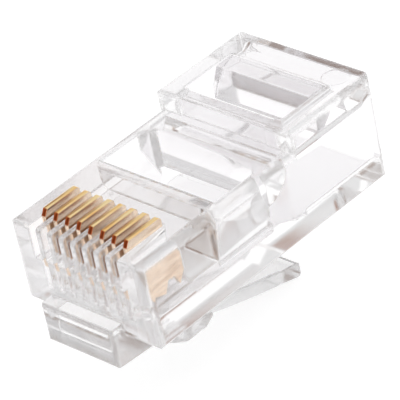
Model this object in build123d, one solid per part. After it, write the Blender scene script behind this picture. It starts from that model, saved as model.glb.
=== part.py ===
from build123d import *
from math import radians, sin
import os

# An unterminated eight-contact modular plug. X runs across it, Y from the nose to the cable end and
# Z from the latch side to the contact side. The origin is at the foot of the nose, in its middle.
# Every size is in millimetres.

# Outer form of the moulding
BODY_WIDTH = 11.68
NOSE_HEIGHT = 6.50
BLOCK_HEIGHT = 7.90
BODY_LENGTH = 22.0
BLOCK_LENGTH = 8.0
LEAD_IN = 0.65
NOSE_CORNER = 0.75
NOSE_SHOULDER = 0.75
BLOCK_SHOULDER = 0.55
END_CORNER = 0.55
TOP_ROUND = 0.30
FOOT_CHAMFER = 0.35

# Contacts and the comb that holds them
CONTACT_COUNT = 8
CONTACT_PITCH = 1.02
CONTACT_THICKNESS = 0.36
CONTACT_FRONT = 1.10
CONTACT_LENGTH = 3.20
CONTACT_PROUD = 0.60
CONTACT_FACET_DEPTH = 0.28
CONTACT_FACET_HEIGHT = 0.46
CONTACT_CHAMFER = 0.21
CONTACT_REST_GAP = 0.24
TINE_DEPTH = 0.80
TINE_SLOPE = 0.46
FRONT_TINE_AT = 1.40
NOTCH_AT = 1.80
NOTCH_LENGTH = 0.52
REAR_TINE_AT = 2.70
CRIMP_TRAVEL = 1.10
SLOT_CLEARANCE = 0.04
MOUTH_WIDTH = 0.60
MOUTH_FLOOR = 4.10
MOUTH_SHELF = 5.30

# Wire channels and the pocket that they open into
CHANNEL_WIDTH = 0.92
CHANNEL_CORNER = 0.24
CHANNEL_HEIGHT = 2.05
CHANNEL_FRONT = 1.00
CHANNEL_TIP_WIDTH = 0.34
CHANNEL_TIP_CORNER = 0.12
CHANNEL_TIP_LENGTH = 0.85
CHANNEL_MARGIN = 0.12
POCKET_FRONT = 7.00
POCKET_LENGTH = 5.00
POCKET_WALL = 0.79
POCKET_KINK = 5.15
POCKET_BEVEL = 0.90
POCKET_TURN = 0.70
GALLERY_AT = 4.70
ANCHOR_LIP = 0.60

# Cable cavity and the round lead from it into the channels
CAVITY_WALL = 0.89
CAVITY_FLOOR = 1.35
CAVITY_HEIGHT = 4.60
CAVITY_CORNER = 0.60
LEAD_RADIUS = 2.45
LEAD_SETBACK = 1.70
LEAD_TURN = 0.90
LEAD_TAPER = 0.20
ENTRY_BEVEL = 0.50
ENTRY_DEPTH = 0.75

# Jacket bar over the cavity, which swings down when the plug is crimped
BAR_WIDTH = 8.20
BAR_GAP = 0.08
BAR_RIM = 1.15
BAR_HINGE_FROM_END = 2.65
BAR_DEPTH = 1.30
BAR_HINGE_RADIUS = 0.36
BAR_FACE_DROP = 1.13
BAR_FACE_LEAN = 0.60
BAR_TOE_DROP = 2.20
BAR_TOE_THICKNESS = 0.40
RIM_RELIEF = 0.10
RIM_HALF_WIDTH = 3.74

# Latch under the nose
LATCH_WIDTH = 6.22
LATCH_ROOT_REACH = 1.15
LATCH_ROOT_TOP = 1.50
LATCH_ROOT_DROP = 1.30
LATCH_ROOT_TAPER = 0.20
LATCH_ROOT_ROUND = 0.28
LATCH_HINGE_AT = 2.20
LATCH_HINGE_DROP = 1.00
LATCH_HINGE_RADIUS = 0.50
HINGE_CLEARANCE = 0.05
LATCH_SHOULDER_AT = 7.30
LATCH_WING_DEPTH = 3.08
LATCH_WING_CREST_AT = 4.75
LATCH_WING_RELIEF = 0.75
LATCH_WING_RISE = 0.45
LATCH_WING_ROUND = 0.80
LEVER_WIDTH = 3.25
LEVER_END = 16.60
LEVER_THICKNESS = 1.08
LEVER_FALL = 4.45
LEVER_BOW = 0.38
LEVER_TAIL_ROUND = 0.25

# Ejector marks in the top of the cable block
PIN_MARK_RADIUS = 0.95
PIN_MARK_DEPTH = 0.04
PIN_MARK_X = 4.06
PIN_MARK_FROM_END = 1.40

OUTSIDE = 1.0


def side_solid(outline, width):
    """Solid of a closed Y-Z outline, centred across the plug."""
    return extrude(Plane.YZ * make_face(outline), amount=width / 2, both=True)


def cross_solid(sketch, start, end):
    """Solid of an X-Z sketch between two places along the plug."""
    return extrude(Plane.XZ.offset(-start) * sketch, amount=start - end)


def block(x_span, y_span, z_span):
    """Box between two limits on each axis."""
    spans = (x_span, y_span, z_span)
    size = [high - low for low, high in spans]
    middle = [(high + low) / 2 for low, high in spans]
    return Pos(*middle) * Box(*size)


def across_rod(radius, length, y, z):
    """Round rod along X about the given place."""
    return Pos(0, y, z) * Rot(0, 90, 0) * Cylinder(radius, length)


def contact_places():
    """X of each contact, from the left side to the right."""
    first = -(CONTACT_COUNT - 1) * CONTACT_PITCH / 2
    return [first + number * CONTACT_PITCH for number in range(CONTACT_COUNT)]


def step_at():
    """Y at which the nose ends and the taller cable block begins."""
    return BODY_LENGTH - BLOCK_LENGTH


def edges_at(part, axis, place, along):
    """Edges parallel to one axis whose middle lies at a place on another."""
    picked = part.edges().filter_by(along)
    return picked.filter_by(lambda edge: abs((edge @ 0.5).dot(axis.direction) - place) < 1e-4)


def body_section(height, shoulder):
    """Cross-section of the body, with a chamfered foot and rounded shoulders."""
    half = BODY_WIDTH / 2
    foot = half - FOOT_CHAMFER
    section = make_face(Polyline(
        (-foot, 0), (foot, 0), (half, FOOT_CHAMFER), (half, height), (-half, height), (-half, FOOT_CHAMFER),
        close=True,
    ))
    return fillet(section.vertices().group_by(Axis.Y)[-1], shoulder)


def body_plan(start, front_corner):
    """Plan of the body from one place along it to the cable end, with rounded corners."""
    plan = Pos(0, (start + BODY_LENGTH) / 2) * Rectangle(BODY_WIDTH, BODY_LENGTH - start)
    plan = fillet(plan.vertices().group_by(Axis.Y)[0], front_corner)
    return extrude(fillet(plan.vertices().group_by(Axis.Y)[-1], END_CORNER), amount=BLOCK_HEIGHT)


def nose_body():
    """Front of the moulding, with its lead-in chamfer. It reaches a little way into the cable block."""
    rear = step_at() + OUTSIDE
    side = make_face(Polyline(
        (0, LEAD_IN), (0, NOSE_HEIGHT), (rear, NOSE_HEIGHT), (rear, 0), (LEAD_IN, 0), close=True
    ))
    side = fillet(side.vertices().group_by(Axis.Y)[-1].sort_by(Axis.X)[0], TOP_ROUND)
    section = body_section(NOSE_HEIGHT, NOSE_SHOULDER)
    return side_solid(side.edges(), BODY_WIDTH) & cross_solid(section, 0, rear) & body_plan(0, NOSE_CORNER)


def block_body():
    """Taller cable block of the moulding."""
    step = step_at()
    side = make_face(Polyline(
        (step, 0), (step, BLOCK_HEIGHT), (BODY_LENGTH, BLOCK_HEIGHT), (BODY_LENGTH, 0), close=True
    ))
    upper = side.vertices().group_by(Axis.Y)[-1].sort_by(Axis.X)
    side = fillet(upper[0], TOP_ROUND)
    side = fillet(side.vertices().group_by(Axis.Y)[-1].sort_by(Axis.X)[-1], BLOCK_SHOULDER)
    section = body_section(BLOCK_HEIGHT, BLOCK_SHOULDER)
    whole = side_solid(side.edges(), BODY_WIDTH) & cross_solid(section, step, BODY_LENGTH)
    return whole & body_plan(step, TOP_ROUND)


def latch_root():
    """Block under and ahead of the nose that carries the latch."""
    rear = LATCH_HINGE_AT
    outline = Polyline(
        (-LATCH_ROOT_REACH, LATCH_ROOT_TOP), (LEAD_IN, LATCH_ROOT_TOP), (rear, LATCH_ROOT_TAPER),
        (rear, -LATCH_ROOT_DROP - LATCH_ROOT_TAPER), (-LATCH_ROOT_REACH, -LATCH_ROOT_DROP), close=True,
    )
    root = side_solid(outline, LATCH_WIDTH)
    root = fillet(root.faces().sort_by(Axis.Y)[0].edges(), LATCH_ROOT_ROUND)
    seat = across_rod(LATCH_HINGE_RADIUS + HINGE_CLEARANCE, BODY_WIDTH, LATCH_HINGE_AT, -LATCH_HINGE_DROP)
    return root - seat


def contact_slot(x):
    """Slot of one contact, deep enough for the crimp, with a wider mouth for the jack's spring wire."""
    rear = CONTACT_FRONT + CONTACT_LENGTH + SLOT_CLEARANCE
    floor = contact_foot() - CRIMP_TRAVEL - 2 * SLOT_CLEARANCE
    front = CONTACT_FRONT - SLOT_CLEARANCE
    slot = block((-contact_slot_half(), contact_slot_half()), (front, rear), (floor, BLOCK_HEIGHT))
    mouth = Polyline(
        (-OUTSIDE, MOUTH_FLOOR), (-OUTSIDE, BLOCK_HEIGHT), (rear, BLOCK_HEIGHT), (rear, MOUTH_SHELF),
        (CONTACT_FRONT, MOUTH_SHELF), (CONTACT_FRONT, MOUTH_FLOOR), close=True,
    )
    return Pos(x, 0, 0) * (slot + side_solid(mouth, MOUTH_WIDTH))


def contact_slot_half():
    """Half the width of the close slot that holds a contact."""
    return CONTACT_THICKNESS / 2 + SLOT_CLEARANCE


def wire_channel(x):
    """Channel of one wire, from its pointed blind end to the pocket."""
    start = CHANNEL_FRONT + CHANNEL_TIP_LENGTH
    full = Pos(x, CHANNEL_HEIGHT) * RectangleRounded(CHANNEL_WIDTH, CHANNEL_WIDTH, CHANNEL_CORNER)
    tip = Pos(x, CHANNEL_HEIGHT) * RectangleRounded(CHANNEL_TIP_WIDTH, CHANNEL_TIP_WIDTH, CHANNEL_TIP_CORNER)
    point = loft([Plane.XZ.offset(-CHANNEL_FRONT) * tip, Plane.XZ.offset(-start) * full])
    return cross_solid(full, start, pocket_rear()) + point


def gallery():
    """Flat space behind the contacts, where the channels join ahead of the pocket."""
    half = channel_half_width() - CHANNEL_MARGIN
    low = CHANNEL_HEIGHT - CHANNEL_WIDTH / 2
    return block((-half, half), (GALLERY_AT, pocket_rear()), (low, low + CHANNEL_WIDTH))


def pocket_rear():
    """Y of the pocket's rear wall."""
    return POCKET_FRONT + POCKET_LENGTH


def channel_half_width():
    """Half the width of the row of channels."""
    return -contact_places()[0] + CHANNEL_WIDTH / 2 + CHANNEL_MARGIN


def wire_pocket():
    """Window behind the contacts, wide above and drawn in towards the channels."""
    top = BODY_WIDTH / 2 - POCKET_WALL
    low = channel_half_width()
    roof = NOSE_HEIGHT + OUTSIDE
    turn = CHANNEL_HEIGHT + CHANNEL_WIDTH / 2
    outline = Polyline(
        (-top, roof), (top, roof), (top, POCKET_KINK), (low, turn), (low, CHANNEL_HEIGHT),
        (-low, CHANNEL_HEIGHT), (-low, turn), (-top, POCKET_KINK), close=True,
    )
    plan = Polyline(
        (-top, POCKET_FRONT), (top, POCKET_FRONT), (top, pocket_rear() - POCKET_BEVEL),
        (top - POCKET_BEVEL, pocket_rear()), (POCKET_BEVEL - top, pocket_rear()),
        (-top, pocket_rear() - POCKET_BEVEL), close=True,
    )
    plan = make_face(plan)
    plan = fillet(plan.vertices().group_by(Axis.Y)[0], POCKET_TURN)
    well = extrude(plan, amount=2 * BLOCK_HEIGHT)
    lip = Polyline(
        (POCKET_FRONT, roof), (POCKET_FRONT + ANCHOR_LIP, roof), (POCKET_FRONT + ANCHOR_LIP, NOSE_HEIGHT),
        (POCKET_FRONT, NOSE_HEIGHT - ANCHOR_LIP), close=True,
    )
    pocket = cross_solid(make_face(outline), POCKET_FRONT, pocket_rear()) & well
    return pocket - side_solid(lip, BODY_WIDTH)


def cable_cavity():
    """Room for the cable's jacket, with a bevelled mouth."""
    width = BODY_WIDTH - 2 * CAVITY_WALL
    middle = CAVITY_FLOOR + CAVITY_HEIGHT / 2
    room = Pos(0, middle) * RectangleRounded(width, CAVITY_HEIGHT, CAVITY_CORNER)
    flare = 2 * ENTRY_BEVEL
    mouth = Pos(0, middle) * RectangleRounded(
        width + flare, CAVITY_HEIGHT + flare, CAVITY_CORNER + ENTRY_BEVEL
    )
    bevel = loft([
        Plane.XZ.offset(ENTRY_DEPTH - BODY_LENGTH) * room,
        Plane.XZ.offset(-BODY_LENGTH) * mouth,
    ])
    return cross_solid(room, cavity_front(), BODY_LENGTH + OUTSIDE) + bevel


def cavity_front():
    """Y at which the full cavity ends and the lead begins."""
    return pocket_rear() + LEAD_SETBACK


def wire_lead():
    """Passage from the cavity to the channels, under a rounded ceiling and between drawn-in walls."""
    ceiling = CAVITY_FLOOR + CAVITY_HEIGHT
    rear = cavity_front()
    front = rear - LEAD_RADIUS
    low = ceiling - LEAD_RADIUS
    half_turn = LEAD_RADIUS * sin(radians(45))
    outline = (
        Polyline((rear + OUTSIDE, CAVITY_FLOOR), (rear + OUTSIDE, ceiling), (rear, ceiling))
        + ThreePointArc((rear, ceiling), (front + half_turn, ceiling - half_turn), (front, low))
        + Polyline(
            (front, low), (POCKET_FRONT, low), (POCKET_FRONT, CHANNEL_HEIGHT),
            (front + OUTSIDE, CHANNEL_HEIGHT), (rear + OUTSIDE, CAVITY_FLOOR),
        )
    )
    passage = side_solid(outline.edges(), BODY_WIDTH)
    wide = BODY_WIDTH / 2 - CAVITY_WALL
    narrow = channel_half_width()
    plan = Polyline(
        (-wide, rear + OUTSIDE), (wide, rear + OUTSIDE), (wide, rear - LEAD_TAPER),
        (narrow, front + LEAD_TAPER), (narrow, POCKET_FRONT), (-narrow, POCKET_FRONT),
        (-narrow, front + LEAD_TAPER), (-wide, rear - LEAD_TAPER), close=True,
    )
    walls = extrude(make_face(plan), amount=BLOCK_HEIGHT)
    turns = walls.edges().filter_by(Axis.Z).filter_by(lambda edge: front < (edge @ 0.5).Y < rear)
    return passage & fillet(turns, LEAD_TURN)


def bar_window():
    """Opening in the cable block's top around the jacket bar."""
    half = BAR_WIDTH / 2 + BAR_GAP
    seat = BAR_HINGE_RADIUS + HINGE_CLEARANCE
    ceiling = CAVITY_FLOOR + CAVITY_HEIGHT - OUTSIDE
    front = step_at() + BAR_RIM
    hinge_y = bar_hinge_at()
    hinge_z = bar_hinge_height()
    outline = Polyline(
        (front, BLOCK_HEIGHT + OUTSIDE), (hinge_y, BLOCK_HEIGHT + OUTSIDE), (hinge_y, hinge_z),
        (hinge_y + seat, hinge_z), (hinge_y + 2 * seat, ceiling), (front, ceiling), close=True,
    )
    return side_solid(outline, 2 * half) + across_rod(seat, 2 * half, hinge_y, hinge_z)


def rim_relief():
    """Thin step between the block's front pillars, on the rim's face and on its top."""
    width = (-RIM_HALF_WIDTH, RIM_HALF_WIDTH)
    above = BLOCK_HEIGHT + OUTSIDE
    step = step_at()
    face = block(width, (step - OUTSIDE, step + RIM_RELIEF), (NOSE_HEIGHT, above))
    top = block(width, (step - OUTSIDE, step + BAR_RIM), (BLOCK_HEIGHT - RIM_RELIEF, above))
    return face + top


def bar_hinge_at():
    """Y of the jacket bar's hinge line."""
    return BODY_LENGTH - BAR_HINGE_FROM_END


def bar_hinge_height():
    """Z of the jacket bar's hinge line, just under the block's top."""
    return BLOCK_HEIGHT - BAR_HINGE_RADIUS


def jacket_bar():
    """Wedge that grips the cable's jacket, on a round hinge at its rear edge."""
    hinge_y = bar_hinge_at()
    face_top = (hinge_y - BAR_DEPTH, BLOCK_HEIGHT)
    face_foot = (face_top[0] - BAR_FACE_LEAN, BLOCK_HEIGHT - BAR_FACE_DROP)
    toe = (face_foot[0] - RIM_RELIEF, BLOCK_HEIGHT - BAR_TOE_DROP)
    hinge_z = bar_hinge_height()
    outline = Polyline(
        face_top, (hinge_y, BLOCK_HEIGHT), (hinge_y, hinge_z - BAR_HINGE_RADIUS),
        (toe[0] + BAR_TOE_THICKNESS, toe[1]), toe, face_foot, close=True,
    )
    return side_solid(outline, BAR_WIDTH) + across_rod(BAR_HINGE_RADIUS, BAR_WIDTH, hinge_y, hinge_z)


def pin_marks():
    """Shallow round marks that the ejector pins leave."""
    y = BODY_LENGTH - PIN_MARK_FROM_END
    mark = Cylinder(PIN_MARK_RADIUS, 2 * PIN_MARK_DEPTH)
    return Pos(PIN_MARK_X, y, BLOCK_HEIGHT) * mark + Pos(-PIN_MARK_X, y, BLOCK_HEIGHT) * mark


def housing():
    """The one clear moulding, without its latch arm and its jacket bar."""
    body = nose_body() + block_body() + latch_root()
    body -= wire_pocket() + gallery()
    body -= cable_cavity() + wire_lead()
    body -= rim_relief()
    body -= bar_window()
    for x in contact_places():
        body -= wire_channel(x)
        body -= contact_slot(x)
    return body - pin_marks()


def contact_foot():
    """Z of the tines' tips before the contact is pressed down."""
    return CHANNEL_HEIGHT + CHANNEL_WIDTH / 2 + CONTACT_REST_GAP


def contact(x):
    """Flat blade with two piercing tines and a steep facet at its upper front corner."""
    top = NOSE_HEIGHT + CONTACT_PROUD
    rear = CONTACT_FRONT + CONTACT_LENGTH
    foot = contact_foot()
    root = foot + TINE_DEPTH
    notch = CONTACT_FRONT + NOTCH_AT
    outline = Polyline(
        (CONTACT_FRONT, foot + TINE_SLOPE), (CONTACT_FRONT, top - CONTACT_FACET_HEIGHT),
        (CONTACT_FRONT + CONTACT_FACET_DEPTH, top), (rear - CONTACT_CHAMFER, top),
        (rear, top - CONTACT_CHAMFER), (rear, root),
        (CONTACT_FRONT + REAR_TINE_AT, foot), (notch + NOTCH_LENGTH, root), (notch, root),
        (CONTACT_FRONT + FRONT_TINE_AT, foot), close=True,
    )
    return Pos(x, 0, 0) * side_solid(outline, CONTACT_THICKNESS)


def lever_curve(offset):
    """Bowed line of the latch arm, at an offset square to its fall."""
    start = (LATCH_HINGE_AT, -LATCH_HINGE_DROP + offset)
    end = (LEVER_END, -LATCH_HINGE_DROP - LEVER_FALL + offset)
    middle = ((start[0] + end[0]) / 2, (start[1] + end[1]) / 2 - LEVER_BOW)
    return start, middle, end


def latch_arm():
    """Latch arm: broad wings with locking shoulders, then the narrow thumb lever."""
    top = lever_curve(LEVER_THICKNESS / 2)
    low = lever_curve(-LEVER_THICKNESS / 2)
    ends = Line(top[2], low[2]) + Line(low[0], top[0])
    lever = side_solid((ThreePointArc(*top) + ThreePointArc(*low) + ends).edges(), LEVER_WIDTH)
    tail = lever.edges().filter_by(Axis.X).sort_by(Axis.Y)[-2:]
    lever = fillet(tail, LEVER_TAIL_ROUND)
    barrel = across_rod(LATCH_HINGE_RADIUS, LATCH_WIDTH, LATCH_HINGE_AT, -LATCH_HINGE_DROP)
    return lever + barrel + latch_wings()


def latch_wings():
    """Broad front of the arm, with a ramp below and a locking shoulder at its rear."""
    top = lever_curve(LEVER_THICKNESS / 2)
    under_top = ThreePointArc(*top) + Polyline(
        top[2], (LEVER_END, -BODY_LENGTH), (LATCH_HINGE_AT, -BODY_LENGTH), top[0]
    )
    ramp = Polyline(
        (LATCH_HINGE_AT, 0), (LATCH_HINGE_AT, -LATCH_HINGE_DROP - LEVER_THICKNESS / 2),
        (LATCH_WING_CREST_AT, -LATCH_WING_DEPTH), (LATCH_SHOULDER_AT - LATCH_WING_RELIEF, -LATCH_WING_DEPTH),
        (LATCH_SHOULDER_AT, -LATCH_WING_DEPTH + LATCH_WING_RISE), (LATCH_SHOULDER_AT, 0), close=True,
    )
    wings = side_solid(under_top.edges(), LATCH_WIDTH) & side_solid(ramp, LATCH_WIDTH)
    crest = edges_at(wings, Axis.Z, -LATCH_WING_DEPTH, Axis.X).sort_by(Axis.Y)
    return fillet(crest[0], LATCH_WING_ROUND)


def main():
    """Writes each piece to its own STEP file."""
    pieces = {"housing": housing(), "latch_arm": latch_arm(), "jacket_bar": jacket_bar()}
    for number, x in enumerate(contact_places(), start=1):
        pieces[f"contact_{number}"] = contact(x)
    os.makedirs("parts", exist_ok=True)
    for name, piece in pieces.items():
        export_step(piece, f"parts/{name}.step")
        print(name, round(piece.volume, 3))


main()
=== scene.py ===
"""Looks of an unterminated clear modular plug with gold blades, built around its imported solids."""

import logging
import math
from dataclasses import dataclass, field
from enum import Enum

import bmesh
import bpy
from mathutils import Euler, Matrix, Vector
from mathutils.bvhtree import BVHTree

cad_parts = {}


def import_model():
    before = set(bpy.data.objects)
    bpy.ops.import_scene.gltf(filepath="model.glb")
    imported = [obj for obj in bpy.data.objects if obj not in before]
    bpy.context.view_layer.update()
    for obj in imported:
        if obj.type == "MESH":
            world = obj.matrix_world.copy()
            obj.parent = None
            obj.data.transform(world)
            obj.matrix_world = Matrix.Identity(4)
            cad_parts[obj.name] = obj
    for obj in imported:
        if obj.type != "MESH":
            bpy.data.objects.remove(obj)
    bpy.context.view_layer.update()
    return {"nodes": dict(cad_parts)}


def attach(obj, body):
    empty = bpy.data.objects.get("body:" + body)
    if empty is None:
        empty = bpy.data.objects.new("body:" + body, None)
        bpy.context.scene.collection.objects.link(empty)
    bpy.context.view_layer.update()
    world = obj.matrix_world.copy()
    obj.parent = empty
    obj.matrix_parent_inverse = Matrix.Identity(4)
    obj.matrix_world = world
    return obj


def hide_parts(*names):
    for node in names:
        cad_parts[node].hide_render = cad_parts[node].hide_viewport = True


LOG = logging.getLogger("plug")
MM = 0.001
RISING = (0.0, 1.0)
FALLING = (1.0, 0.0)
SQUARE = ((-1, -1), (1, -1), (1, 1), (-1, 1))
AREA_WEIGHT = 100
LIGHT_BOUNCES = 32
Rgba = tuple[float, float, float, float]
Triple = tuple[float, float, float]
Socket = bpy.types.NodeSocket
Tree = bpy.types.NodeTree
Colour = Rgba | Socket


class Body(Enum):
    """The moving bodies of the plug that carry clear plastic."""

    HOUSING = "housing"
    LATCH = "latch_arm"
    BAR = "jacket_bar"


class Slot(Enum):
    """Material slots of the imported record."""

    CLEAR = "clear_plastic"
    GOLD = "gold_contact"


def input_of(node: bpy.types.Node, name: str, value: object) -> None:
    """Sets one named input of a node to a constant.

    Args:
        node: The node to change.
        name: The input's name.
        value: The constant that it gets.
    """
    node.inputs[name].default_value = value


def new_material(name: str) -> tuple[bpy.types.Material, bpy.types.Node, Tree]:
    """Makes an empty node material.

    Args:
        name: The material's name.

    Returns:
        The material, its output node and its node tree.
    """
    material = bpy.data.materials.new(name)
    material.use_nodes = True
    tree = material.node_tree
    tree.nodes.clear()
    output = tree.nodes.new("ShaderNodeOutputMaterial")
    return material, output, tree


def object_noise(tree: Tree, scale: float, detail: float, stretch: Triple) -> Socket:
    """Adds a noise pattern on Object coordinates.

    Args:
        tree: The material's node tree.
        scale: Size of the pattern, in waves per metre.
        detail: How many finer layers the noise has.
        stretch: Scale of the pattern along each axis.

    Returns:
        The socket that gives the noise value.
    """
    coordinates = tree.nodes.new("ShaderNodeTexCoord")
    mapping = tree.nodes.new("ShaderNodeMapping")
    input_of(mapping, "Scale", stretch)
    noise = tree.nodes.new("ShaderNodeTexNoise")
    input_of(noise, "Scale", scale)
    input_of(noise, "Detail", detail)
    tree.links.new(coordinates.outputs["Object"], mapping.inputs["Vector"])
    tree.links.new(mapping.outputs["Vector"], noise.inputs["Vector"])
    return noise.outputs["Fac"]


def blend(tree: Tree, factor: Socket, first: Colour, second: Colour) -> Socket:
    """Mixes two colours.

    Args:
        tree: The material's node tree.
        factor: The share of the second colour.
        first: A constant colour or a socket.
        second: A constant colour or a socket.

    Returns:
        The socket of the mixed colour.
    """
    mix = tree.nodes.new("ShaderNodeMix")
    mix.data_type = "RGBA"
    tree.links.new(factor, mix.inputs["Factor"])
    for name, colour in (("A", first), ("B", second)):
        if isinstance(colour, tuple):
            input_of(mix, name, colour)
        else:
            tree.links.new(colour, mix.inputs[name])
    return mix.outputs["Result"]


def place_along(tree: Tree, axis: str) -> Socket:
    """Gives the place on a piece along one axis, in metres.

    Args:
        tree: The material's node tree.
        axis: The axis, X, Y or Z.

    Returns:
        The socket of the place.
    """
    coordinates = tree.nodes.new("ShaderNodeTexCoord")
    place = tree.nodes.new("ShaderNodeSeparateXYZ")
    tree.links.new(coordinates.outputs["Object"], place.inputs["Vector"])
    return place.outputs[axis]


def ramp(tree: Tree, value: Socket, start: tuple[float, float], end: tuple[float, float]) -> Socket:
    """Maps one range of a value to another, held at its ends.

    Args:
        tree: The material's node tree.
        value: The socket of the value.
        start: The range that the value has.
        end: The range that it gets.

    Returns:
        The socket of the mapped value.
    """
    spread = tree.nodes.new("ShaderNodeMapRange")
    input_of(spread, "From Min", start[0])
    input_of(spread, "From Max", start[1])
    input_of(spread, "To Min", end[0])
    input_of(spread, "To Max", end[1])
    tree.links.new(value, spread.inputs["Value"])
    return spread.outputs["Result"]


@dataclass(frozen=True)
class ClearPolycarbonate:
    """Clear injection-moulded plastic with a faint flow waviness and fine handling marks."""

    refraction: float = 1.586
    nose_tint: Rgba = (0.935, 0.927, 0.931, 1.0)
    # Painted shade: the block's middle is tinted darker than the thick nose, standing in for the grey shade
    # seen through it.
    block_tint_painted_shade: Rgba = (0.885, 0.873, 0.885, 1.0)
    wall_tint: Rgba = (0.97, 0.967, 0.97, 1.0)
    latch_tint: Rgba = (1.0, 0.996, 1.0, 1.0)
    smooth: float = 0.07
    hazy: float = 0.12
    frosted: float = 0.21
    latch_heights: tuple[float, float] = (-0.45 * MM, -0.05 * MM)
    block_starts: tuple[float, float] = (6.0 * MM, 14.0 * MM)
    wall_starts: tuple[float, float] = (4.7 * MM, 5.0 * MM)
    edge_radius: float = 0.19 * MM
    edge_samples: int = 4
    marks_scale: float = 900.0
    marks_detail: float = 3.0
    marks_stretch: Triple = (1.0, 0.35, 1.0)
    marks_range: tuple[float, float] = (0.56, 0.80)
    wave_scale: float = 260.0
    wave_detail: float = 2.0
    wave_stretch: Triple = (1.0, 0.5, 1.0)
    wave_height: float = 0.003 * MM
    shadow: Rgba = (0.982, 0.982, 0.985, 1.0)

    def tint(self, tree: Tree) -> Socket:
        """Makes the plastic clearer in the block's thin walls and in the latch than in the thick nose, and
        darker in the block's middle, where the darker tint is painted shade.

        Args:
            tree: The material's node tree.

        Returns:
            The socket of the tint.
        """
        outward = tree.nodes.new("ShaderNodeMath")
        outward.operation = "ABSOLUTE"
        tree.links.new(place_along(tree, "X"), outward.inputs[0])
        wall = ramp(tree, outward.outputs["Value"], self.wall_starts, RISING)
        along = ramp(tree, place_along(tree, "Y"), self.block_starts, RISING)
        below = ramp(tree, place_along(tree, "Z"), self.latch_heights, FALLING)
        # The block's middle gets the darker tint, a painted shade; its thin walls stay clearer.
        block = blend(tree, wall, self.block_tint_painted_shade, self.wall_tint)
        return blend(tree, below, blend(tree, along, self.nose_tint, block), self.latch_tint)

    def frost(self, tree: Tree) -> Socket:
        """Makes the etched latch below the nose softer than the polished body.

        Args:
            tree: The material's node tree.

        Returns:
            The socket of the roughness that the height gives.
        """
        return ramp(tree, place_along(tree, "Z"), self.latch_heights, (self.frosted, 0.0))

    def material(self) -> bpy.types.Material:
        """Builds the material.

        Returns:
            A refractive shader that lets lamps through for shadows.
        """
        material, output, tree = new_material("clear_polycarbonate")
        shader = tree.nodes.new("ShaderNodeBsdfPrincipled")
        tree.links.new(self.tint(tree), shader.inputs["Base Color"])
        input_of(shader, "Transmission Weight", 1.0)
        input_of(shader, "IOR", self.refraction)
        marks = object_noise(tree, self.marks_scale, self.marks_detail, self.marks_stretch)
        haze = ramp(tree, marks, self.marks_range, (self.smooth, self.hazy))
        rougher = tree.nodes.new("ShaderNodeMath")
        rougher.operation = "MAXIMUM"
        tree.links.new(haze, rougher.inputs[0])
        tree.links.new(self.frost(tree), rougher.inputs[1])
        tree.links.new(rougher.outputs["Value"], shader.inputs["Roughness"])
        bump = tree.nodes.new("ShaderNodeBump")
        input_of(bump, "Strength", 1.0)
        input_of(bump, "Distance", self.wave_height)
        waves = object_noise(tree, self.wave_scale, self.wave_detail, self.wave_stretch)
        tree.links.new(waves, bump.inputs["Height"])
        edge = tree.nodes.new("ShaderNodeBevel")
        edge.samples = self.edge_samples
        input_of(edge, "Radius", self.edge_radius)
        tree.links.new(edge.outputs["Normal"], bump.inputs["Normal"])
        tree.links.new(bump.outputs["Normal"], shader.inputs["Normal"])
        lamp_path = tree.nodes.new("ShaderNodeBsdfTransparent")
        input_of(lamp_path, "Color", self.shadow)
        rays = tree.nodes.new("ShaderNodeLightPath")
        mix = tree.nodes.new("ShaderNodeMixShader")
        tree.links.new(rays.outputs["Is Shadow Ray"], mix.inputs["Fac"])
        tree.links.new(shader.outputs["BSDF"], mix.inputs[1])
        tree.links.new(lamp_path.outputs["BSDF"], mix.inputs[2])
        tree.links.new(mix.outputs["Shader"], output.inputs["Surface"])
        return material


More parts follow.
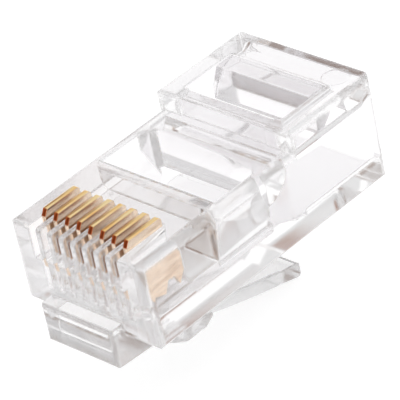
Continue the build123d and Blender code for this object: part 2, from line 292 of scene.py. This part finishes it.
@dataclass(frozen=True)
class GoldFlash:
    """Gold plating on a stamped bronze blade's crest, paler on its cut sides, with a painted shade of dark
    red-brown on its front bevel.
    """

    bright: Rgba = (1.0, 0.82, 0.47, 1.0)
    deep: Rgba = (1.0, 0.60, 0.20, 1.0)
    # Painted shade: the dark red-brown that the front bevel gets stands in for the shade and dark
    # reflections that fall there.
    bevel: Rgba = (0.54, 0.135, 0.04, 1.0)
    side: Rgba = (0.98, 0.82, 0.66, 1.0)
    side_deep: Rgba = (0.74, 0.53, 0.37, 1.0)
    smooth: float = 0.14
    rough: float = 0.28
    grain_scale: float = 3600.0
    grain_detail: float = 4.0
    grain_stretch: Triple = (1.0, 0.14, 1.0)
    grain_depth: float = 0.006 * MM
    patch_range: tuple[float, float] = (0.35, 0.75)
    crest_slopes: tuple[float, float] = (0.15, 0.45)
    painted_shade_slopes: tuple[float, float] = (0.20, 0.35)
    front_slopes: tuple[float, float] = (-0.50, -0.30)

    def colour(self, tree: Tree, grain: Socket) -> Socket:
        """Colours a blade by which way each face looks, with painted shade on the front bevel.

        Args:
            tree: The material's node tree.
            grain: The socket of the stamped grain.

        Returns:
            The socket of the colour.
        """
        patches = ramp(tree, grain, self.patch_range, RISING)
        crest = blend(tree, patches, self.bright, self.deep)
        side = blend(tree, patches, self.side, self.side_deep)
        surface = tree.nodes.new("ShaderNodeNewGeometry")
        facing = tree.nodes.new("ShaderNodeSeparateXYZ")
        tree.links.new(surface.outputs["True Normal"], facing.inputs["Vector"])
        upward = facing.outputs["Z"]
        forward = ramp(tree, facing.outputs["Y"], self.front_slopes, FALLING)
        along = blend(tree, ramp(tree, upward, self.crest_slopes, RISING), side, crest)
        # Painted shade: the sloped part of the front faces gets the dark red-brown bevel colour.
        front = blend(tree, ramp(tree, upward, self.painted_shade_slopes, RISING), side, self.bevel)
        return blend(tree, forward, along, front)

    def material(self) -> bpy.types.Material:
        """Builds the material.

        Returns:
            A metal whose colour and gloss vary along the stamped grain.
        """
        material, output, tree = new_material("gold_flash")
        shader = tree.nodes.new("ShaderNodeBsdfPrincipled")
        input_of(shader, "Metallic", 1.0)
        grain = object_noise(tree, self.grain_scale, self.grain_detail, self.grain_stretch)
        tree.links.new(self.colour(tree, grain), shader.inputs["Base Color"])
        gloss = ramp(tree, grain, RISING, (self.smooth, self.rough))
        tree.links.new(gloss, shader.inputs["Roughness"])
        bump = tree.nodes.new("ShaderNodeBump")
        input_of(bump, "Distance", self.grain_depth)
        tree.links.new(grain, bump.inputs["Height"])
        tree.links.new(bump.outputs["Normal"], shader.inputs["Normal"])
        tree.links.new(shader.outputs["BSDF"], output.inputs["Surface"])
        return material


@dataclass(frozen=True)
class Round:
    """One radius of rounded edges, for the edges whose neighbours have the room."""

    radius: float
    room: float


@dataclass(frozen=True)
class EdgeRounder:
    """Rounds the sharp edges of a copied solid wherever a round has room, the widest radius first."""

    rounds: tuple[Round, ...]
    tries: int = 12
    segments: int = 3
    weld: float = 0.0001 * MM
    clearing: float = 0.30 * MM
    volume_change: float = 0.02
    sharp_angle: float = math.radians(28)
    flat_angle: float = math.radians(0.6)

    def roomy_edges(self, shape: bmesh.types.BMesh, wanted: Round) -> list[int]:
        """Finds the sharp outward edges with room for a round.

        Args:
            shape: The piece's mesh.
            wanted: The round.

        Returns:
            The numbers of those edges.
        """
        return [
            edge.index
            for edge in shape.edges
            if len(edge.link_faces) == 2
            and edge.calc_face_angle_signed(0.0) > self.sharp_angle
            and all(near.calc_length() > wanted.room for end in edge.verts for near in end.link_edges)
        ]

    def crossings(self, shape: bmesh.types.BMesh) -> list[Vector]:
        """Finds where a mesh cuts itself.

        Args:
            shape: The mesh.

        Returns:
            The middles of the triangles that cut another one.
        """
        flat = shape.copy()
        bmesh.ops.triangulate(flat, faces=flat.faces)
        flat.faces.ensure_lookup_table()
        tree = BVHTree.FromBMesh(flat)
        found = []
        for first, second in tree.overlap(tree):
            ends = {corner.index for corner in flat.faces[first].verts}
            if ends.isdisjoint(corner.index for corner in flat.faces[second].verts):
                found.append(flat.faces[first].calc_center_median())
        flat.free()
        return found

    def near(self, edge: bmesh.types.BMEdge, place: Vector) -> bool:
        """Tells whether an edge runs close by a place.

        Args:
            edge: The edge.
            place: The place.

        Returns:
            True where it does.
        """
        start, end = (corner.co for corner in edge.verts)
        run = end - start
        share = max(0.0, min(1.0, (place - start).dot(run) / run.length_squared))
        return (start + run * share - place).length < self.clearing

    def one_pass(self, shape: bmesh.types.BMesh, wanted: Round) -> bmesh.types.BMesh:
        """Rounds the edges that have room, without the ones whose rounds would cut each other.

        Args:
            shape: The piece's mesh.
            wanted: The round.

        Returns:
            The rounded mesh, or the mesh as it was where no try is clean.
        """
        shape.edges.ensure_lookup_table()
        shape.edges.index_update()
        picked = self.roomy_edges(shape, wanted)
        volume = shape.calc_volume()
        for _ in range(self.tries):
            if not picked:
                break
            trial = shape.copy()
            trial.edges.ensure_lookup_table()
            bmesh.ops.bevel(
                trial,
                geom=[trial.edges[number] for number in picked],
                offset=wanted.radius,
                offset_type="OFFSET",
                segments=self.segments,
                profile=0.5,
                affect="EDGES",
                clamp_overlap=False,
            )
            bad = self.crossings(trial)
            if not bad and abs(trial.calc_volume() / volume - 1.0) < self.volume_change:
                LOG.info("%d edges rounded to %.2f mm", len(picked), wanted.radius / MM)
                shape.free()
                return trial
            trial.free()
            if not bad:
                break
            picked = [
                number
                for number in picked
                if not any(self.near(shape.edges[number], place) for place in bad)
            ]
        return shape

    def softened(self, source: bpy.types.Mesh, name: str) -> bpy.types.Mesh:
        """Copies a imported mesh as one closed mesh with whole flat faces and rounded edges.

        Args:
            source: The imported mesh.
            name: The new mesh's name.

        Returns:
            The new mesh, shaded smoothly.
        """
        shape = bmesh.new()
        shape.from_mesh(source)
        bmesh.ops.remove_doubles(shape, verts=shape.verts, dist=self.weld)
        bmesh.ops.dissolve_limit(shape, angle_limit=self.flat_angle, verts=shape.verts, edges=shape.edges)
        for wanted in self.rounds:
            shape = self.one_pass(shape, wanted)
        mesh = bpy.data.meshes.new(name)
        shape.to_mesh(mesh)
        shape.free()
        mesh.polygons.foreach_set("use_smooth", [True] * len(mesh.polygons))
        mesh.set_sharp_from_angle(angle=self.sharp_angle)
        return mesh


def settled(piece: bpy.types.Object) -> None:
    """Turns what a piece's modifiers show into its own mesh.

    Args:
        piece: The piece.
    """
    bpy.context.view_layer.update()
    shown = piece.evaluated_get(bpy.context.evaluated_depsgraph_get())
    shaped = bpy.data.meshes.new_from_object(shown)
    piece.modifiers.clear()
    piece.data = shaped


def flat_faces(piece: bpy.types.Object) -> None:
    """Keeps a piece's large faces flat and lets only its rounds and curves shade smoothly.

    Args:
        piece: The piece.
    """
    normals = piece.modifiers.new("flat_faces", "WEIGHTED_NORMAL")
    normals.mode = "FACE_AREA"
    normals.weight = AREA_WEIGHT
    normals.keep_sharp = True


@dataclass
class ClearMoulding:
    """The clear moulding: housing, latch arm and jacket bar, with their edges softened."""

    edges: EdgeRounder = EdgeRounder((Round(0.09 * MM, 0.05 * MM),))
    finish: ClearPolycarbonate = field(default_factory=ClearPolycarbonate)

    def build(self, nodes: dict[str, bpy.types.Object]) -> list[bpy.types.Object]:
        """Makes the clear pieces and lets them ride on their bodies.

        Args:
            nodes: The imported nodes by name.

        Returns:
            The clear pieces.
        """
        material = self.finish.material()
        made = []
        for body in Body:
            name = f"{body.value}_clear"
            piece = bpy.data.objects.new(name, self.edges.softened(nodes[body.value].data, name))
            bpy.context.scene.collection.objects.link(piece)
            flat_faces(piece)
            settled(piece)
            piece.data.materials.clear()
            piece.data.materials.append(material)
            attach(piece, body.value)
            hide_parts(body.value)
            LOG.info("%s: %d faces", piece.name, len(piece.data.polygons))
            made.append(piece)
        return made


@dataclass
class BladeComb:
    """The row of gold blades: one stamped blade, set out at the pitch of the comb by Geometry Nodes."""

    count: int = 8
    pitch: float = 1.02 * MM
    edges: EdgeRounder = EdgeRounder((Round(0.055 * MM, 0.04 * MM),))
    finish: GoldFlash = field(default_factory=GoldFlash)

    def row_tree(self, material: bpy.types.Material) -> bpy.types.GeometryNodeTree:
        """Builds the tree that moves the first blade to its place in the row.

        Args:
            material: The blades' material.

        Returns:
            The node tree, with inputs Pitch and Place.
        """
        tree = bpy.data.node_groups.new("blade_row", "GeometryNodeTree")
        tree.interface.new_socket("Geometry", in_out="INPUT", socket_type="NodeSocketGeometry")
        tree.interface.new_socket("Pitch", in_out="INPUT", socket_type="NodeSocketFloat")
        tree.interface.new_socket("Place", in_out="INPUT", socket_type="NodeSocketInt")
        tree.interface.new_socket("Geometry", in_out="OUTPUT", socket_type="NodeSocketGeometry")
        start = tree.nodes.new("NodeGroupInput")
        end = tree.nodes.new("NodeGroupOutput")
        away = tree.nodes.new("ShaderNodeMath")
        away.operation = "MULTIPLY"
        step = tree.nodes.new("ShaderNodeCombineXYZ")
        point = tree.nodes.new("GeometryNodePoints")
        stamp = tree.nodes.new("GeometryNodeInstanceOnPoints")
        whole = tree.nodes.new("GeometryNodeRealizeInstances")
        finish = tree.nodes.new("GeometryNodeSetMaterial")
        input_of(finish, "Material", material)
        tree.links.new(start.outputs["Pitch"], away.inputs[0])
        tree.links.new(start.outputs["Place"], away.inputs[1])
        tree.links.new(away.outputs["Value"], step.inputs["X"])
        tree.links.new(step.outputs["Vector"], point.inputs["Position"])
        tree.links.new(point.outputs["Points"], stamp.inputs["Points"])
        tree.links.new(start.outputs["Geometry"], stamp.inputs["Instance"])
        tree.links.new(stamp.outputs["Instances"], whole.inputs["Geometry"])
        tree.links.new(whole.outputs["Geometry"], finish.inputs["Geometry"])
        tree.links.new(finish.outputs["Geometry"], end.inputs["Geometry"])
        return tree

    def blade(
        self, number: int, shape: bpy.types.Mesh, tree: bpy.types.GeometryNodeTree
    ) -> bpy.types.Object:
        """Makes one blade at its place in the row.

        Args:
            number: The blade's number, from 1.
            shape: The first blade's mesh.
            tree: The tree that sets it out.

        Returns:
            The blade.
        """
        piece = bpy.data.objects.new(f"blade_{number}", shape)
        bpy.context.scene.collection.objects.link(piece)
        row = piece.modifiers.new("row", "NODES")
        row.node_group = tree
        values = {"Pitch": self.pitch, "Place": number - 1}
        for item in tree.interface.items_tree:
            if item.name in values:
                row[item.identifier] = values[item.name]
        flat_faces(piece)
        settled(piece)
        return piece

    def build(self, nodes: dict[str, bpy.types.Object]) -> list[bpy.types.Object]:
        """Makes the blades and lets them ride on their bodies.

        Args:
            nodes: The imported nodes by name.

        Returns:
            The blades.
        """
        tree = self.row_tree(self.finish.material())
        shape = self.edges.softened(nodes["contact_1"].data, "stamped_blade")
        made = []
        for number in range(1, self.count + 1):
            node = f"contact_{number}"
            piece = self.blade(number, shape, tree)
            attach(piece, node)
            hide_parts(node)
            LOG.info("%s: %d faces", piece.name, len(piece.data.polygons))
            made.append(piece)
        return made


@dataclass
class Camera:
    """Camera at the photograph's viewing angle."""

    place: Triple = (140.294 * MM, -108.323 * MM, 122.587 * MM)
    turn: Triple = (math.radians(56.4027), math.radians(10.1905), math.radians(42.9535))
    lens: float = 311.1
    sensor: float = 36.0
    nearest: float = 0.01
    farthest: float = 10.0

    def build(self) -> None:
        """Makes the scene's camera."""
        data = bpy.data.cameras.new("camera")
        data.lens = self.lens
        data.sensor_width = self.sensor
        data.clip_start = self.nearest
        data.clip_end = self.farthest
        camera = bpy.data.objects.new("camera", data)
        bpy.context.scene.collection.objects.link(camera)
        camera.matrix_world = Matrix.LocRotScale(Vector(self.place), Euler(self.turn), None)
        bpy.context.scene.camera = camera


@dataclass(frozen=True)
class Card:
    """A card that glass and metal reflect but the camera doesn't see, held at a direction from the plug."""

    name: str
    colour: Rgba
    azimuth: float
    elevation: float
    width: float
    height: float
    distance: float = 0.35

    def corners(self) -> list[Vector]:
        """Works out the card's corners.

        Returns:
            The four corners, in order.
        """
        level = math.cos(self.elevation)
        heading = Vector((math.cos(self.azimuth), math.sin(self.azimuth), 0.0))
        away = heading * level + Vector((0.0, 0.0, math.sin(self.elevation)))
        across = Vector((0, 0, 1)).cross(away).normalized() * (self.width / 2)
        rise = away.cross(across).normalized() * (self.height / 2)
        return [away * self.distance + across * side + rise * height for side, height in SQUARE]


@dataclass(frozen=True)
class Lamp:
    """A soft square lamp that faces the plug and that glass and metal don't show."""

    name: str
    place: Triple
    size: float
    power: float


@dataclass
class Studio:
    """Plain pale floor, soft lamps, a white surround and the dim cards that the plastic reflects."""

    floor_height: float = -6.1 * MM
    floor_size: float = 3.0
    floor_colour: Rgba = (0.80, 0.80, 0.80, 1.0)
    floor_lift: float = 0.57
    surround: float = 1.0
    ambient: float = 0.70
    cards: tuple[Card, ...] = (
        Card("dim_room", (0.32, 0.23, 0.19, 1.0), math.radians(-137), math.radians(-7), 0.72, 0.22),
        Card("dim_wall", (0.24, 0.15, 0.11, 1.0), math.radians(-124), math.radians(26), 0.17, 0.19),
        Card("warm_wall", (0.34, 0.17, 0.11, 1.0), math.radians(163), math.radians(32), 0.24, 0.10),
    )
    lamps: tuple[Lamp, ...] = (
        Lamp("key", (-0.30, 0.16, 0.22), 0.22, 0.28),
        Lamp("fill", (0.10, 0.20, 0.35), 0.20, 0.16),
    )
    aim: Triple = (0.0, 11.0 * MM, 0.0)

    def seen_by_eye(self, tree: Tree) -> Socket:
        """Adds nodes that tell the camera's, metal's and glass's rays from the rest.

        Args:
            tree: A material's or a world's node tree.

        Returns:
            The socket that is 1 for those rays.
        """
        rays = tree.nodes.new("ShaderNodeLightPath")
        first = tree.nodes.new("ShaderNodeMath")
        first.operation = "MAXIMUM"
        second = tree.nodes.new("ShaderNodeMath")
        second.operation = "MAXIMUM"
        tree.links.new(rays.outputs["Is Camera Ray"], first.inputs[0])
        tree.links.new(rays.outputs["Is Glossy Ray"], first.inputs[1])
        tree.links.new(first.outputs["Value"], second.inputs[0])
        tree.links.new(rays.outputs["Is Transmission Ray"], second.inputs[1])
        return second.outputs["Value"]

    def flat_stage(
        self, name: str, corners: list[Vector], material: bpy.types.Material
    ) -> bpy.types.Object:
        """Makes a flat stage piece.

        Args:
            name: The piece's name.
            corners: Its four corners.
            material: Its material.

        Returns:
            The piece.
        """
        mesh = bpy.data.meshes.new(name)
        mesh.from_pydata([tuple(corner) for corner in corners], [], [(0, 1, 2, 3)])
        mesh.materials.append(material)
        piece = bpy.data.objects.new(name, mesh)
        bpy.context.scene.collection.objects.link(piece)
        LOG.info("stage: %s", name)
        return piece

    def floor(self) -> None:
        """Makes the floor, white where the camera, glass or metal sees it."""
        material, output, tree = new_material("pale_floor")
        diffuse = tree.nodes.new("ShaderNodeBsdfDiffuse")
        input_of(diffuse, "Color", self.floor_colour)
        lift = tree.nodes.new("ShaderNodeEmission")
        strength = tree.nodes.new("ShaderNodeMath")
        strength.operation = "MULTIPLY"
        strength.inputs[1].default_value = self.floor_lift
        tree.links.new(self.seen_by_eye(tree), strength.inputs[0])
        tree.links.new(strength.outputs["Value"], lift.inputs["Strength"])
        add = tree.nodes.new("ShaderNodeAddShader")
        tree.links.new(diffuse.outputs["BSDF"], add.inputs[0])
        tree.links.new(lift.outputs["Emission"], add.inputs[1])
        tree.links.new(add.outputs["Shader"], output.inputs["Surface"])
        half = self.floor_size / 2
        corners = [Vector((x * half, y * half, self.floor_height)) for x, y in SQUARE]
        self.flat_stage("floor", corners, material)

    def hang(self, card: Card) -> None:
        """Makes a card that glass and metal see but the camera doesn't.

        Args:
            card: The card.
        """
        material, output, tree = new_material(card.name)
        glow = tree.nodes.new("ShaderNodeEmission")
        input_of(glow, "Color", card.colour)
        tree.links.new(glow.outputs["Emission"], output.inputs["Surface"])
        piece = self.flat_stage(card.name, card.corners(), material)
        piece.visible_camera = False
        piece.visible_diffuse = False
        piece.visible_shadow = False

    def world(self) -> None:
        """Makes the surround: white for the camera, glass and metal, softer as light."""
        world = bpy.data.worlds.new("surround")
        world.use_nodes = True
        tree = world.node_tree
        tree.nodes.clear()
        output = tree.nodes.new("ShaderNodeOutputWorld")
        white = tree.nodes.new("ShaderNodeBackground")
        input_of(white, "Strength", self.surround)
        soft = tree.nodes.new("ShaderNodeBackground")
        input_of(soft, "Strength", self.ambient)
        mix = tree.nodes.new("ShaderNodeMixShader")
        tree.links.new(self.seen_by_eye(tree), mix.inputs["Fac"])
        tree.links.new(soft.outputs["Background"], mix.inputs[1])
        tree.links.new(white.outputs["Background"], mix.inputs[2])
        tree.links.new(mix.outputs["Shader"], output.inputs["Surface"])
        bpy.context.scene.world = world

    def light(self, lamp: Lamp) -> None:
        """Adds a lamp to the scene.

        Args:
            lamp: The lamp, with its power in watts.
        """
        data = bpy.data.lights.new(lamp.name, "AREA")
        data.size = lamp.size
        data.energy = lamp.power
        source = bpy.data.objects.new(lamp.name, data)
        bpy.context.scene.collection.objects.link(source)
        source.location = lamp.place
        source.visible_glossy = False
        source.visible_transmission = False
        source.rotation_mode = "QUATERNION"
        source.rotation_quaternion = (Vector(self.aim) - Vector(lamp.place)).to_track_quat("-Z", "Y")

    def build(self) -> None:
        """Builds the floor, the surround, the cards and the lamps."""
        self.floor()
        for card in self.cards:
            self.hang(card)
        self.world()
        for lamp in self.lamps:
            self.light(lamp)


def main() -> None:
    """Builds the plug's looks and the studio."""
    logging.basicConfig(level=logging.INFO, format="%(name)s: %(message)s")
    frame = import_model()
    Camera().build()
    Studio().build()
    ClearMoulding().build(frame["nodes"])
    BladeComb().build(frame["nodes"])
    scene = bpy.context.scene
    scene.view_settings.view_transform = "Standard"
    scene.cycles.max_bounces = LIGHT_BOUNCES
    scene.cycles.transmission_bounces = LIGHT_BOUNCES
    scene.cycles.glossy_bounces = LIGHT_BOUNCES


if __name__ == "__main__":
    main()
